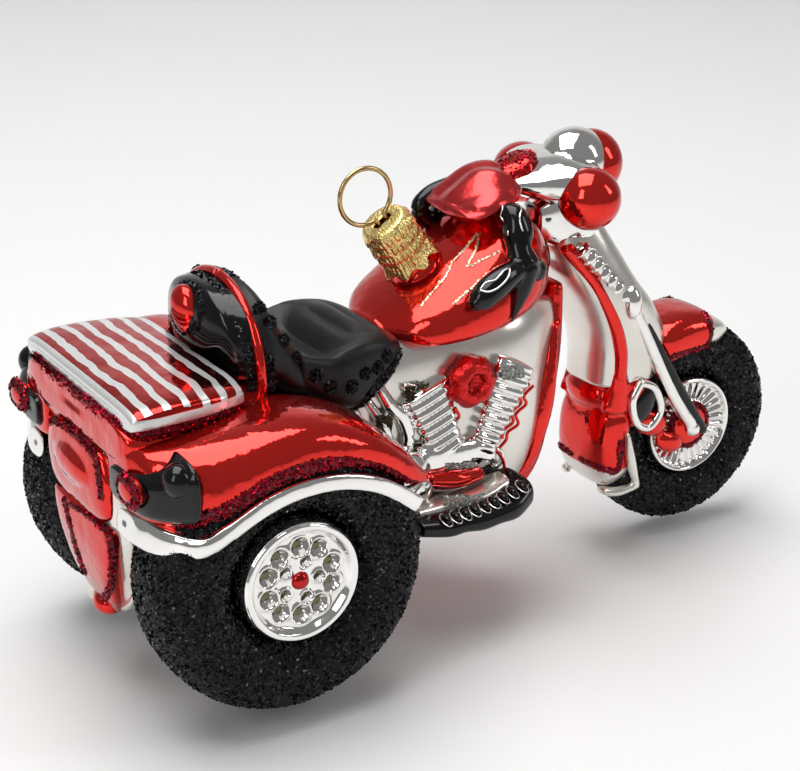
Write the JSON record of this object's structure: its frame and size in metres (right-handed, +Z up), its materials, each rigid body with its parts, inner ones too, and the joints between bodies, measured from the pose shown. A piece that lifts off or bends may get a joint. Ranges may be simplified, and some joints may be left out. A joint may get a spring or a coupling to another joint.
{
  "type": "blown-glass hanging ornament in the form of a motor trike",
  "caption": "Silvered and lacquered glass tree ornament shaped as a three-wheeled motorcycle, with a gold crown cap and a wire hanging ring.",
  "frame": {"origin": "on the standing plane, under the middle of the length, midway between the sides", "axes": "+X to the front of the trike, +Y to its left, +Z up"},
  "size_m": [0.1514, 0.0706, 0.0847],
  "materials": {
    "red_lacquer": "gloss",
    "silvered_glass": "gloss",
    "pearl_lacquer": "satin",
    "black_lacquer": "gloss",
    "satin_black": "satin",
    "black_glitter": "matte",
    "stamped_gold": "satin",
    "gold_wire": "gloss"
  },
  "bodies": {
    "glass_body": {"air_cleaner_L": "red_lacquer", "air_cleaner_R": "red_lacquer", "backrest": "satin_black", "backrest_lamp": "red_lacquer", "backrest_piping": "red_lacquer", "backrest_shell": "black_lacquer", "bumper_trim_L": "silvered_glass", "bumper_trim_R": "silvered_glass", "cowl": "red_lacquer", "down_tube": "red_lacquer", "engine_core": "pearl_lacquer", "fender_flap": "red_lacquer", "fender_lobe": "red_lacquer", "footboard_L": "black_lacquer", "footboard_R": "black_lacquer", "fork_band_L": "red_lacquer", "fork_band_R": "red_lacquer", "fork_leg_L": "silvered_glass", "fork_leg_R": "silvered_glass", "fork_shell": "pearl_lacquer", "front_fender": "pearl_lacquer", "front_hub_L": "red_lacquer", "front_hub_R": "red_lacquer", "front_tyre": "black_glitter", "front_wheel": "silvered_glass", "gauge": "red_lacquer", "gear_cover_L": "red_lacquer", "gear_cover_R": "red_lacquer", "handlebar_L": "black_lacquer", "handlebar_R": "black_lacquer", "headlamp_lens": "red_lacquer", "headlamp_nacelle": "silvered_glass", "neck": "red_lacquer", "passing_lamp_L": "red_lacquer", "passing_lamp_R": "red_lacquer", "rear_apron": "red_lacquer", "rear_core": "pearl_lacquer", "rear_fender_L": "red_lacquer", "rear_fender_R": "red_lacquer", "rear_hub_L": "red_lacquer", "rear_hub_R": "red_lacquer", "rear_pouch": "red_lacquer", "rear_tyre_L": "black_glitter", "rear_tyre_R": "black_glitter", "rear_wheel_L": "silvered_glass", "rear_wheel_R": "silvered_glass", "seat": "satin_black", "steering_head": "silvered_glass", "tail_lamp_L": "black_lacquer", "tail_lamp_R": "black_lacquer", "tail_lens_L": "red_lacquer", "tail_lens_R": "red_lacquer", "tank": "red_lacquer", "trunk": "red_lacquer", "trunk_lid": "red_lacquer", "twin_cylinders_L": "silvered_glass", "twin_cylinders_R": "silvered_glass"},
    "cap": {"cap": "stamped_gold"},
    "hanger": {"hanger": "gold_wire"}
  },
  "joints": [
    {"name": "cap_turn", "type": "hinge", "parent": "glass_body", "child": "cap", "pos_m": [-0.00683, 0, 0.0632], "axis": [-0.5793, 0, 0.8151], "continuous": true},
    {"name": "hanger_pull", "type": "slide", "parent": "cap", "child": "hanger", "axis": [-0.5793, 0, 0.8151], "range_m": [0, 0.004]}
  ]
}
